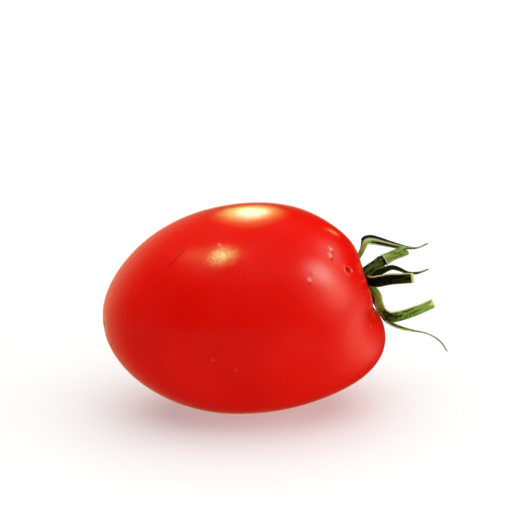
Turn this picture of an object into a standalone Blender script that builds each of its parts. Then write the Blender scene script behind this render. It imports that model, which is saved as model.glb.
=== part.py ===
"""A ripe plum tomato, as picked, lying on its side on a small flat spot.

Three pieces: the fruit, its green calyx of six sepals round a small ring, and the cut stalk with its knuckle.
Metres, +Z up. The origin is the middle of the flat spot, and +X runs along the fruit to its stem end.
"""

import math

import bmesh
import bpy
from mathutils import Matrix, Vector
from mathutils.bvhtree import BVHTree

MM = 0.001


def degrees(value):
    return math.radians(value)


# The fruit: an egg of unlike ends whose stem end is tilted up and lobed
FRUIT_LENGTH = 69.0 * MM
FRUIT_RADIUS = 26.6 * MM
BLOSSOM_FULLNESS = -0.004
SHOULDER_FULLNESS = 0.029
STEM_END_SWELL = 0.085
STEM_END_TILT = Vector((0.0, 0.05, 0.31))
STEM_END_TILT_REACH = 5
AXIS_LIFT = degrees(2.0)
FRUIT_MIDDLE = Vector((-2.9, 0.0, 26.05)) * MM
SKIN_SEGMENTS = 56
SKIN_RINGS = 36

# Lobes and furrows over the shoulder: angle round the fruit from the top towards the front, rise, half width
SHOULDER_LOBES = (
    (degrees(18), 2.05 * MM, degrees(24)),
    (degrees(57), 0.30 * MM, degrees(18)),
    (degrees(95), -1.25 * MM, degrees(15)),
    (degrees(133), 1.10 * MM, degrees(20)),
    (degrees(183), -0.70 * MM, degrees(16)),
    (degrees(226), 0.75 * MM, degrees(22)),
    (degrees(268), -0.80 * MM, degrees(16)),
    (degrees(312), 0.90 * MM, degrees(22)),
)
LOBE_PEAK = degrees(152)
LOBE_SPREAD = degrees(22)
LOBE_FADE_RADIUS = 8.0 * MM
LOBE_CORE = Vector((FRUIT_LENGTH / 2.0 - 0.8 * FRUIT_RADIUS, 0.0, 0.0))

# The hollow that the stalk grows from lies a little above the long axis
STEM_AXIS = Vector((1.0, 0.05, 0.45)).normalized()
HOLLOW_RISE = 5.0 * MM
HOLLOW_DEPTH = 2.4 * MM
HOLLOW_RADIUS = 7.0 * MM
BLOSSOM_DIMPLE = 0.35 * MM
BLOSSOM_DIMPLE_RADIUS = 2.2 * MM

# The calyx: a ring round the stalk's foot, and six sepals. Each bend of a sepal is set out from the seat of
# the stalk: out along the sepal's own turn, beside it, up along the stalk, and the twist of the blade there
SKIN_CLEARANCE = 0.35 * MM
RING_HOLE_RADIUS = 1.85 * MM
RING_MIDDLE_RADIUS = 2.70 * MM
RING_RADIUS = 3.55 * MM
RING_THICKNESS = 1.5 * MM
RING_SEGMENTS = 24
SEPAL_THICKNESS = 0.66 * MM
SEPAL_TIP_WIDTH = 0.66 * MM
SEPAL_WAIST = 0.86
SEPAL_WAIST_END = 0.25
SEPAL_TAPER = (1.5, 0.85)
SEPAL_CHANNEL = 0.15
SEPAL_STATIONS = 22
SEPAL_COLUMNS = 4
STEPS_PER_BEND = 24
SEPALS = (
    {"name": "top", "turn": 8, "width": 3.6, "full": 27.0, "bends": (
        (2.3, 0.0, 0.9, 0), (4.6, 0.0, 2.0, -15), (6.5, -0.3, 4.4, -15), (8.2, -0.5, 6.2, 15),
        (7.3, -1.3, 8.4, 45), (4.3, -1.9, 11.3, 50), (0.2, -2.7, 14.7, 45), (-3.0, -3.2, 18.0, 35),
        (-3.9, -3.7, 21.3, 30))},
    {"name": "front", "turn": 86, "width": 3.6, "full": 40.0, "bends": (
        (2.3, 0.0, 0.9, 0), (4.5, 0.2, 1.4, 0), (7.5, 0.6, 2.7, -6), (9.5, 1.3, 6.2, -6),
        (10.7, 2.3, 8.9, -6), (11.8, 3.3, 11.5, -6))},
    {"name": "front_low", "turn": 130, "width": 3.3, "full": 60.0, "bends": (
        (2.3, 0.0, 0.9, 0), (5.0, -0.4, 1.7, -30), (7.5, -0.3, 1.9, -42), (9.1, 0.0, 1.3, -50),
        (10.6, 0.5, 1.0, -50), (12.4, 0.7, 1.2, -48), (14.2, 0.5, 2.3, -42), (15.5, 0.1, 5.2, -40),
        (16.4, 0.0, 9.3, -40), (16.8, 0.0, 13.2, -40))},
    {"name": "low", "turn": 174, "width": 3.3, "full": 22.5, "bends": (
        (2.3, 0.0, 0.9, 0), (6.0, 0.0, 1.3, 0), (12.2, 0.0, 1.4, 8), (15.0, 0.1, 2.4, 20),
        (17.5, 0.0, 4.2, 25), (19.9, 0.1, 6.8, 25), (22.0, 0.1, 9.3, 25), (24.4, 0.2, 11.1, 20),
        (26.9, 0.2, 12.1, 20), (29.6, 0.3, 12.4, 20))},
    {"name": "back", "turn": 250, "width": 3.5, "full": 25.0, "bends": (
        (2.3, 0.0, 0.9, 0), (4.8, -0.6, 1.6, 0), (7.7, -2.0, 4.7, -10), (8.0, -2.5, 7.7, -33),
        (7.9, -2.9, 10.3, -40), (7.7, -4.3, 11.9, -45), (7.6, -6.3, 13.6, -50), (7.2, -7.4, 15.9, -50),
        (6.2, -7.7, 18.4, -50))},
    {"name": "back_high", "turn": 310, "width": 3.7, "full": 25.0, "bends": (
        (2.3, 0.0, 0.9, 0), (5.0, 0.0, 1.5, 0), (10.0, 0.6, 1.6, 0), (15.0, 1.6, 0.2, 0),
        (18.0, 2.3, -1.0, 5), (20.2, 2.9, -1.8, 5))},
)

# The stalk: a cut stem with a knuckle where it would part from the vine
STALK_FOOT = 1.08 * MM
STALK_LENGTH = 15.0 * MM
STALK_RADIUS = 1.20 * MM
STALK_END_RADIUS = 1.32 * MM
STALK_FOOT_RADIUS = 1.48 * MM
STALK_FOOT_SPREAD = 2.4 * MM
KNUCKLE_AT = 8.3 * MM
KNUCKLE_RISE = 0.42 * MM
KNUCKLE_SPREAD = 1.3 * MM
KNUCKLE_GROOVE = 0.34 * MM
KNUCKLE_GROOVE_SPREAD = 0.32 * MM
STALK_BOW = 0.6 * MM
STALK_POINTS = 26


def clear_scene():
    for old in list(bpy.data.objects):
        bpy.data.objects.remove(old)


def lerp(start, end, share):
    return start + (end - start) * share


def smoothstep(share):
    share = min(max(share, 0.0), 1.0)
    return share * share * (3.0 - 2.0 * share)


def bell(distance, spread):
    return math.exp(-((distance / spread) ** 2))


def angle_between(first, second):
    return (first - second + math.pi) % (2.0 * math.pi) - math.pi


def painted(name, colour, roughness):
    """A plain finish of the part's own colour."""
    finish = bpy.data.materials.new(name)
    finish.use_nodes = True
    shader = finish.node_tree.nodes["Principled BSDF"]
    shader.inputs["Base Color"].default_value = (*colour, 1.0)
    shader.inputs["Roughness"].default_value = roughness
    shader.inputs["Metallic"].default_value = 0.0
    return finish


def object_from(form, name, group, finish):
    mesh = bpy.data.meshes.new(name)
    form.to_mesh(mesh)
    form.free()
    mesh.shade_smooth()
    mesh.set_sharp_from_angle(angle=degrees(40))
    mesh.materials.append(finish)
    made = bpy.data.objects.new(name, mesh)
    group.objects.link(made)
    return made


# Fruit


def skin_point(polar, turn):
    """Skin of the fruit round its own middle. polar runs from the blossom end to the stem end, and turn from
    the top towards the front, round the long axis."""
    share = (1.0 - math.cos(polar)) / 2.0
    fullness = lerp(BLOSSOM_FULLNESS, SHOULDER_FULLNESS, share)
    along = -(math.cos(polar) - fullness * math.cos(3.0 * polar)) / (1.0 - fullness)
    out = (math.sin(polar) + fullness * math.sin(3.0 * polar)) / (1.0 - fullness)
    radius = FRUIT_RADIUS * out * (1.0 - STEM_END_SWELL * math.cos(polar))
    front, top = -radius * math.sin(turn), radius * math.cos(turn)
    point = Vector((along * FRUIT_LENGTH / 2.0, front, top))
    point.x -= STEM_END_TILT.dot(point) * share**STEM_END_TILT_REACH
    outward = (point - LOBE_CORE).normalized()
    band = bell(polar - LOBE_PEAK, LOBE_SPREAD) * smoothstep(radius / LOBE_FADE_RADIUS)
    for middle, rise, width in SHOULDER_LOBES:
        point += outward * rise * band * bell(angle_between(turn, middle), width)
    from_hollow = math.hypot(front, top - HOLLOW_RISE)
    point -= STEM_AXIS * HOLLOW_DEPTH * bell(from_hollow, HOLLOW_RADIUS) * smoothstep(share)
    point.x += BLOSSOM_DIMPLE * bell(radius, BLOSSOM_DIMPLE_RADIUS) * smoothstep(1.0 - share)
    return point


LAY_DOWN = Matrix.Translation(FRUIT_MIDDLE) @ Matrix.Rotation(-AXIS_LIFT, 4, "Y")


def fruit_form():
    """The skin shaped from a sphere with its poles at the fruit's ends, then cut level for the flat spot."""
    form = bmesh.new()
    bmesh.ops.create_uvsphere(form, u_segments=SKIN_SEGMENTS, v_segments=SKIN_RINGS, radius=1.0)
    for vertex in form.verts:
        polar = math.acos(max(-1.0, min(1.0, -vertex.co.z)))
        turn = math.atan2(vertex.co.y, vertex.co.x)
        vertex.co = LAY_DOWN @ skin_point(polar, turn)
    cut = bmesh.ops.bisect_plane(
        form,
        geom=form.verts[:] + form.edges[:] + form.faces[:],
        plane_co=(0.0, 0.0, 0.0),
        plane_no=(0.0, 0.0, 1.0),
        clear_inner=True,
    )
    rim = [item for item in cut["geom_cut"] if isinstance(item, bmesh.types.BMEdge)]
    bmesh.ops.contextual_create(form, geom=rim)
    bmesh.ops.recalc_face_normals(form, faces=form.faces)
    return form


# Seat of the stalk: its place on the skin, and the three ways that the calyx is set out in


class Seat:
    """The bottom of the hollow, with up along the stalk, rise towards the top and front towards the front."""

    def __init__(self, fruit):
        self.skin = BVHTree.FromObject(fruit, bpy.context.evaluated_depsgraph_get())
        self.up = (LAY_DOWN.to_3x3() @ STEM_AXIS).normalized()
        self.rise = (Vector((0.0, 0.0, 1.0)) - self.up * self.up.z).normalized()
        self.front = self.up.cross(self.rise)
        beyond = LAY_DOWN @ Vector((FRUIT_LENGTH, 0.0, HOLLOW_RISE))
        inward = LAY_DOWN.to_3x3() @ Vector((-1.0, 0.0, 0.0))
        self.point = self.skin.ray_cast(beyond, inward)[0]

    def ways(self, turn):
        """The way out from the seat at this turn from the top towards the front, and the way beside it."""
        out = self.rise * math.cos(turn) + self.front * math.sin(turn)
        beside = -self.rise * math.sin(turn) + self.front * math.cos(turn)
        return out, beside

    def on_floor(self, point, gap):
        """The point moved along the stalk's axis until it is this far above the skin."""
        height = (point - self.point).dot(self.up)
        floor = self.skin.ray_cast(point + self.up * (FRUIT_RADIUS - height), -self.up)[0]
        return floor + self.up * gap

    def clear_of_skin(self, point, gap):
        """The point, moved straight away from the skin where it is nearer than this gap."""
        nearest, normal = self.skin.find_nearest(point)[:2]
        short = gap - (point - nearest).dot(normal)
        return point + normal * max(0.0, short)


# Calyx


def smooth_route(bends, count):
    """Points evenly spaced along a smooth curve through the bends, each with its place and its twist."""
    ends = [bends[0] * 2.0 - bends[1], *bends, bends[-1] * 2.0 - bends[-2]]
    fine = []
    for before, start, end, after in zip(ends, ends[1:], ends[2:], ends[3:]):
        for step in range(STEPS_PER_BEND):
            share = step / STEPS_PER_BEND
            fine.append(0.5 * (
                start * 2.0
                + (end - before) * share
                + (before * 2.0 - start * 5.0 + end * 4.0 - after) * share**2
                + (start * 3.0 - before - end * 3.0 + after) * share**3
            ))
    fine.append(bends[-1])
    lengths = [0.0]
    for start, end in zip(fine, fine[1:]):
        lengths.append(lengths[-1] + (end - start).to_3d().length)
    route = []
    index = 0
    for step in range(count + 1):
        target = lengths[-1] * step / count
        while index < len(fine) - 2 and lengths[index + 1] < target:
            index += 1
        span = lengths[index + 1] - lengths[index]
        route.append(fine[index].lerp(fine[index + 1], (target - lengths[index]) / span))
    return route, lengths[-1]


def sepal_width(widest, share):
    """Width of a sepal at this share of its full length: a little waisted at the ring, then a long taper."""
    belly = lerp(SEPAL_WAIST, 1.0, smoothstep(share / SEPAL_WAIST_END))
    taper = (1.0 - min(share, 1.0) ** SEPAL_TAPER[0]) ** SEPAL_TAPER[1]
    return max(SEPAL_TIP_WIDTH, widest * belly * taper)


def sepal_form(seat, sepal):
    """One channelled blade along its route, as an open sheet in its middle thickness."""
    out, beside = seat.ways(degrees(sepal["turn"]))
    bends = []
    for along, aside, height, twist in sepal["bends"]:
        place = seat.point + (out * along + beside * aside + seat.up * height) * MM
        bends.append(Vector((*place, degrees(twist))))
    gap = SKIN_CLEARANCE + SEPAL_THICKNESS / 2.0
    route, length = smooth_route(bends, SEPAL_STATIONS)
    middles = [seat.clear_of_skin(point.to_3d(), gap) for point in route]
    across = beside
    frames = []
    for index, (middle, point) in enumerate(zip(middles, route)):
        ahead = (middles[min(index + 1, SEPAL_STATIONS)] - middles[max(index - 1, 0)]).normalized()
        across = (across - ahead * across.dot(ahead)).normalized()
        turned = Matrix.Rotation(point.w, 3, ahead) @ across
        frames.append((middle, turned, turned.cross(ahead)))
    form = bmesh.new()
    bmesh.ops.create_grid(form, x_segments=SEPAL_STATIONS, y_segments=SEPAL_COLUMNS, size=1.0)
    for vertex in form.verts:
        station = round((vertex.co.x + 1.0) / 2.0 * SEPAL_STATIONS)
        side = vertex.co.y
        middle, turned, inner = frames[station]
        share = length * station / SEPAL_STATIONS / (sepal["full"] * MM)
        width = sepal_width(sepal["width"] * MM, share)
        place = middle + turned * side * width / 2.0 - inner * SEPAL_CHANNEL * width * side**2
        vertex.co = seat.clear_of_skin(place, gap)
    bmesh.ops.triangulate(form, faces=form.faces)
    return form


def ring_form(seat):
    """The ring that the sepals grow from, its underside just clear of the hollow's floor."""
    form = bmesh.new()
    bmesh.ops.create_circle(form, segments=RING_SEGMENTS, radius=RING_HOLE_RADIUS)
    inner = form.edges[:]
    for radius in (RING_MIDDLE_RADIUS, RING_RADIUS):
        grown = bmesh.ops.extrude_edge_only(form, edges=inner)["geom"]
        rim = [item for item in grown if isinstance(item, bmesh.types.BMVert)]
        for vertex in rim:
            vertex.co = vertex.co.normalized() * radius
        edges = [item for item in grown if isinstance(item, bmesh.types.BMEdge)]
        inner = [edge for edge in edges if all(end in rim for end in edge.verts)]
    out, beside = seat.ways(0.0)
    for vertex in form.verts:
        place = seat.point + out * vertex.co.x + beside * vertex.co.y
        vertex.co = seat.on_floor(place, SKIN_CLEARANCE)
    top = bmesh.ops.extrude_face_region(form, geom=form.faces[:])["geom"]
    bmesh.ops.translate(
        form,
        verts=[item for item in top if isinstance(item, bmesh.types.BMVert)],
        vec=seat.up * RING_THICKNESS,
    )
    bmesh.ops.recalc_face_normals(form, faces=form.faces)
    return form


def build_calyx(seat, group, finish):
    sepals = bpy.data.collections.new("sepals")
    bpy.context.scene.collection.children.link(sepals)
    for sepal in SEPALS:
        blade = object_from(sepal_form(seat, sepal), "sepal_" + sepal["name"], sepals, finish)
        thick = blade.modifiers.new("thickness", "SOLIDIFY")
        thick.thickness = SEPAL_THICKNESS
        thick.offset = 0.0
    calyx = object_from(ring_form(seat), "calyx", group, finish)
    joined = calyx.modifiers.new("sepals", "BOOLEAN")
    joined.operation = "UNION"
    joined.operand_type = "COLLECTION"
    joined.collection = sepals
    joined.solver = "EXACT"
    bpy.context.view_layer.objects.active = calyx
    bpy.ops.object.modifier_apply(modifier=joined.name)
    for blade in list(sepals.objects):
        bpy.data.objects.remove(blade)
    bpy.data.collections.remove(sepals)
    return calyx


# Stalk


def stalk_radius(height):
    past_knuckle = (height - KNUCKLE_AT) / (STALK_LENGTH - KNUCKLE_AT)
    plain = lerp(STALK_RADIUS, STALK_END_RADIUS, smoothstep(past_knuckle))
    foot = (STALK_FOOT_RADIUS - STALK_RADIUS) * bell(height, STALK_FOOT_SPREAD)
    swelling = KNUCKLE_RISE * bell(height - KNUCKLE_AT, KNUCKLE_SPREAD)
    groove = KNUCKLE_GROOVE * bell(height - KNUCKLE_AT, KNUCKLE_GROOVE_SPREAD)
    return plain + foot + swelling - groove


def build_stalk(seat, group, finish):
    line = bpy.data.curves.new("stalk", "CURVE")
    line.dimensions = "3D"
    line.bevel_depth = 1.0
    line.bevel_resolution = 4
    line.use_fill_caps = True
    spline = line.splines.new("POLY")
    spline.points.add(STALK_POINTS - 1)
    for index, point in enumerate(spline.points):
        height = lerp(STALK_FOOT, STALK_LENGTH, index / (STALK_POINTS - 1))
        bow = STALK_BOW * math.sin(math.pi * height / STALK_LENGTH)
        point.co = (*(seat.point + seat.up * height + seat.rise * bow), 1.0)
        point.radius = stalk_radius(height)
    line.materials.append(finish)
    stalk = bpy.data.objects.new("stalk", line)
    group.objects.link(stalk)
    return stalk


def main():
    clear_scene()
    tomato = bpy.data.collections.new("tomato")
    bpy.context.scene.collection.children.link(tomato)
    fruit = object_from(fruit_form(), "fruit", tomato, painted("skin", (0.60, 0.012, 0.006), 0.22))
    seat = Seat(fruit)
    green = painted("green", (0.075, 0.16, 0.022), 0.55)
    build_calyx(seat, tomato, green)
    build_stalk(seat, tomato, green)


main()
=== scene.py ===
"""The looks of a ripe plum tomato, as picked, lying on its side with its calyx and its cut stalk.

Metres, +Z up. +X runs along the fruit to its stem end, and the front, which the camera looks at, is -Y.
"""

import math
import random

import bmesh
import bpy
from mathutils import Matrix, Vector, noise
from mathutils.bvhtree import BVHTree


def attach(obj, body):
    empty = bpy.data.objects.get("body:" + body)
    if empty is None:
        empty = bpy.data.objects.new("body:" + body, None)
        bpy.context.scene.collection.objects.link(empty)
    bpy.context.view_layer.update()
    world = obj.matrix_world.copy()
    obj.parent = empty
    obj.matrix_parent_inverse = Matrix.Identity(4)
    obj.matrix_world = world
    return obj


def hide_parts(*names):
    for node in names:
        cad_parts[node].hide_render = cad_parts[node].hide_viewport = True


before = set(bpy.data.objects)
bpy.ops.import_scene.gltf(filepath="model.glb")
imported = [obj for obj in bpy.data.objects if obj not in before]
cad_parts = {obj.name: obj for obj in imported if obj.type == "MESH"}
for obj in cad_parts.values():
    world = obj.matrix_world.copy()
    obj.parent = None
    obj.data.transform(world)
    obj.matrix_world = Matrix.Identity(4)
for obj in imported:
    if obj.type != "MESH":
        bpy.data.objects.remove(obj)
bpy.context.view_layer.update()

# View. The camera stands a little to the left of the fruit's front and looks down on it through a long
# lens, so that the fruit lies in the frame as it does in the photograph.
MM = 0.001
PHOTO_SIZE = 512
SENSOR_WIDTH = 36.0
LENS = 162.0
VIEW_AZIMUTH = math.radians(-12.0)
VIEW_ELEVATION = math.radians(18.0)
VIEW_DISTANCE = 581.8 * MM
VIEW_AIM = Vector((2.3, 3.2, 38.85)) * MM

view_back = Vector((
    math.sin(VIEW_AZIMUTH) * math.cos(VIEW_ELEVATION),
    -math.cos(VIEW_AZIMUTH) * math.cos(VIEW_ELEVATION),
    math.sin(VIEW_ELEVATION),
))
view_right = Vector((math.cos(VIEW_AZIMUTH), math.sin(VIEW_AZIMUTH), 0.0))
view_up = view_back.cross(view_right)
eye = VIEW_AIM + view_back * VIEW_DISTANCE

camera_data = bpy.data.cameras.new("camera")
camera_data.lens = LENS
camera_data.sensor_width = SENSOR_WIDTH
camera = bpy.data.objects.new("camera", camera_data)
camera.matrix_world = Matrix.Translation(eye) @ Matrix((view_right, view_up, view_back)).transposed().to_4x4()
bpy.context.scene.collection.objects.link(camera)
bpy.context.scene.camera = camera
bpy.context.scene.view_settings.view_transform = "Standard"


def sight_line(pixel):
    """Direction from the eye through this pixel of the photograph."""
    per_pixel = SENSOR_WIDTH / LENS / PHOTO_SIZE
    across = (pixel[0] - PHOTO_SIZE / 2) * per_pixel
    down = (pixel[1] - PHOTO_SIZE / 2) * per_pixel
    return (view_right * across - view_up * down - view_back).normalized()


# Fruit. One grown body with a thin waxy skin over red flesh: a smooth egg of unlike ends, its stem end
# tilted up, lobed and hollowed for the stalk, with a corky scar where the flower was at the other end.
FRUIT_LENGTH = 69.0 * MM
FRUIT_RADIUS = 26.6 * MM
BLOSSOM_FULLNESS = -0.004
SHOULDER_FULLNESS = 0.029
STEM_END_SWELL = 0.085
STEM_END_TILT = Vector((0.0, 0.05, 0.31))
STEM_END_TILT_REACH = 5
AXIS_LIFT = math.radians(2.0)
FRUIT_MIDDLE = Vector((-2.9, 0.0, 26.05)) * MM
SHOULDER_LOBES = (
    (math.radians(18), 2.05 * MM, math.radians(24)),
    (math.radians(57), 0.30 * MM, math.radians(18)),
    (math.radians(95), -1.25 * MM, math.radians(15)),
    (math.radians(133), 1.10 * MM, math.radians(20)),
    (math.radians(183), -0.70 * MM, math.radians(16)),
    (math.radians(226), 0.75 * MM, math.radians(22)),
    (math.radians(268), -0.80 * MM, math.radians(16)),
    (math.radians(312), 0.90 * MM, math.radians(22)),
)
LOBE_PEAK = math.radians(152)
LOBE_SPREAD = math.radians(22)
LOBE_FADE_RADIUS = 8.0 * MM
LOBE_CORE = Vector((FRUIT_LENGTH / 2.0 - 0.8 * FRUIT_RADIUS, 0.0, 0.0))
STEM_AXIS = Vector((1.0, 0.05, 0.45)).normalized()
HOLLOW_RISE = 5.0 * MM
HOLLOW_DEPTH = 2.4 * MM
HOLLOW_RADIUS = 7.0 * MM
BLOSSOM_DIMPLE = 0.35 * MM
BLOSSOM_DIMPLE_RADIUS = 2.2 * MM
LAY_DOWN = Matrix.Translation(FRUIT_MIDDLE) @ Matrix.Rotation(-AXIS_LIFT, 4, "Y")

SKIN_SEGMENTS = 240
SKIN_RINGS = 150
FINE_CUTS = 5
FLAT_SOFTNESS = 0.10 * MM
SWELLS = ((11.0 * MM, 0.075 * MM), (4.5 * MM, 0.018 * MM))
PUCKERS = 17
PUCKER_DEPTH = 0.07 * MM
PUCKER_RADIUS = 6.5 * MM
PUCKER_SPREAD = 2.6 * MM
PUCKER_WAVER = 2.0
PUCKER_WAVER_SIZE = 3.0 * MM
SCAR_RADIUS = 0.85 * MM
SCAR_RISE = 0.22 * MM
SCAR_RIM_RISE = 0.4 * SCAR_RISE
SCAR_GRAIN = 0.55 * MM
SCAR_RAGGEDNESS = 0.8

PIMPLES = (
    # pixel of the photograph, radius, rise, and strength of its painted highlight and painted shade
    ((330.8, 249.4), 0.74 * MM, 0.24 * MM, 0.9),
    ((330.4, 255.4), 0.78 * MM, 0.26 * MM, 0.9),
    ((312.7, 273.6), 0.42 * MM, 0.10 * MM, 0.4),
    ((309.1, 280.6), 0.58 * MM, 0.18 * MM, 0.8),
    ((219.0, 244.4), 0.40 * MM, 0.12 * MM, 0.6),
    ((225.4, 251.6), 0.34 * MM, 0.10 * MM, 0.5),
    ((371.0, 327.0), 0.40 * MM, 0.06 * MM, 0.2),
    ((213.0, 361.0), 0.60 * MM, 0.05 * MM, 0.1),
    ((236.0, 371.0), 0.55 * MM, 0.05 * MM, 0.1),
)
PIMPLE_REACH = 3.0
PIMPLE_SPREAD = 0.7
PIMPLE_LIT = 0.25
PIMPLE_LIT_SPREAD = 0.8
PIMPLE_SHADED = 1.45
PIMPLE_SHADE_SPREAD = 0.6
PIMPLE_SHADE = 1.0
CRATER_PIXEL = (347.9, 269.7)
CRATER_RING = 0.55 * MM
CRATER_WIDTH = 0.30 * MM
CRATER_DEPTH = 0.26 * MM
CRATER_LIP = 0.14 * MM
CRATER_LIP_RING = 1.8 * CRATER_RING
CRATER_GLINTS = ((350.2, 266.6), (351.6, 270.4))
GLINT_SPREAD = 0.22 * MM
SCRATCH_PIXELS = ((183.0, 250.5), (171.0, 263.4), (166.5, 268.8))
SCRATCH_WIDTH = 0.32 * MM
SCRATCH_DEPTH = 0.05 * MM
SCRATCH_FADE = 1.2 * MM
SCRATCH_LIP = 0.5 * SCRATCH_DEPTH
SCRATCH_LIP_OFFSET = 2.2 * SCRATCH_WIDTH
SCRATCH_DARKNESS = 0.5
FINE_MARGIN = 0.4 * MM
FINE_BESIDE_SCRATCH = 0.8 * MM
GRAIN_PIXEL = (222.0, 256.0)
SCATTERED_PIMPLES = 16
SCATTER_SEED = 5
SCATTER_BEHIND = -4.0 * MM
SCATTER_ABOVE = 6.0 * MM
SCATTER_FROM_SEAT = 12.0 * MM
SCATTER_RADIUS = (0.3 * MM, 0.5 * MM)
SCATTER_RISE = (0.04 * MM, 0.13 * MM)
SCATTER_PAINTED_LIGHT = 0.5


def lerp(start, end, share):
    return start + (end - start) * share


def smoothstep(share):
    share = min(max(share, 0.0), 1.0)
    return share * share * (3.0 - 2.0 * share)


def bell(distance, spread):
    return math.exp(-((distance / spread) ** 2))


def angle_between(first, second):
    return (first - second + math.pi) % (2.0 * math.pi) - math.pi


def skin_point(polar, turn):
    """Skin of the fruit round its own middle. polar runs from the blossom end to the stem end, and turn from
    the top towards the front, round the long axis."""
    share = (1.0 - math.cos(polar)) / 2.0
    fullness = lerp(BLOSSOM_FULLNESS, SHOULDER_FULLNESS, share)
    along = -(math.cos(polar) - fullness * math.cos(3.0 * polar)) / (1.0 - fullness)
    out = (math.sin(polar) + fullness * math.sin(3.0 * polar)) / (1.0 - fullness)
    radius = FRUIT_RADIUS * out * (1.0 - STEM_END_SWELL * math.cos(polar))
    front, top = -radius * math.sin(turn), radius * math.cos(turn)
    point = Vector((along * FRUIT_LENGTH / 2.0, front, top))
    point.x -= STEM_END_TILT.dot(point) * share**STEM_END_TILT_REACH
    outward = (point - LOBE_CORE).normalized()
    band = bell(polar - LOBE_PEAK, LOBE_SPREAD) * smoothstep(radius / LOBE_FADE_RADIUS)
    for middle, rise, width in SHOULDER_LOBES:
        point += outward * rise * band * bell(angle_between(turn, middle), width)
    from_hollow = math.hypot(front, top - HOLLOW_RISE)
    point -= STEM_AXIS * HOLLOW_DEPTH * bell(from_hollow, HOLLOW_RADIUS) * smoothstep(share)
    point.x += BLOSSOM_DIMPLE * bell(radius, BLOSSOM_DIMPLE_RADIUS) * smoothstep(1.0 - share)
    return point


def on_skin(direction):
    """Skin in its place on the floor, in this direction on a unit sphere whose poles are the fruit's ends."""
    polar = math.acos(max(-1.0, min(1.0, -direction.z)))
    return LAY_DOWN @ skin_point(polar, math.atan2(direction.y, direction.x))


def plain_skin():
    """The skin with no marks, for finding where a line of sight meets it."""
    form = bmesh.new()
    bmesh.ops.create_uvsphere(form, u_segments=SKIN_SEGMENTS // 2, v_segments=SKIN_RINGS // 2, radius=1.0)
    for vertex in form.verts:
        vertex.co = on_skin(vertex.co)
    bmesh.ops.recalc_face_normals(form, faces=form.faces)
    found = BVHTree.FromBMesh(form)
    form.free()
    return found


def distance_to_line(place, line):
    """How far this place is from a line of several points, and on which side, seen from outside the skin."""
    best = (1.0, 0.0)
    for start, end in zip(line, line[1:]):
        run = end - start
        share = min(max((place - start).dot(run) / run.length_squared, 0.0), 1.0)
        away = place - start - run * share
        side = run.cross(away).dot(view_back)
        best = min(best, (away.length, math.copysign(1.0, side)))
    return best


skin_tree = plain_skin()
seat_point = skin_tree.ray_cast(
    LAY_DOWN @ Vector((FRUIT_LENGTH, 0.0, HOLLOW_RISE)), LAY_DOWN.to_3x3() @ Vector((-1.0, 0.0, 0.0))
)[0]
blossom_point = on_skin(Vector((0.0, 0.0, -1.0)))
crater = skin_tree.ray_cast(eye, sight_line(CRATER_PIXEL))[0]
glints = [skin_tree.ray_cast(eye, sight_line(pixel))[0] for pixel in CRATER_GLINTS]
grain_spot = skin_tree.ray_cast(eye, sight_line(GRAIN_PIXEL))[0]
scratch = [skin_tree.ray_cast(eye, sight_line(pixel))[0] for pixel in SCRATCH_PIXELS]
pimples = [(*skin_tree.ray_cast(eye, sight_line(pixel))[:2], *size) for pixel, *size in PIMPLES]
scatter = random.Random(SCATTER_SEED)
while len(pimples) < len(PIMPLES) + SCATTERED_PIMPLES:
    way = Vector([scatter.gauss(0.0, 1.0) for _ in range(3)]).normalized()
    spot = on_skin(way)
    behind = spot.y > SCATTER_BEHIND
    if behind and spot.z > SCATTER_ABOVE and (spot - seat_point).length > SCATTER_FROM_SEAT:
        size = scatter.uniform(*SCATTER_RADIUS), scatter.uniform(*SCATTER_RISE)
        pimples.append((*skin_tree.find_nearest(spot)[:2], *size, SCATTER_PAINTED_LIGHT))


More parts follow.
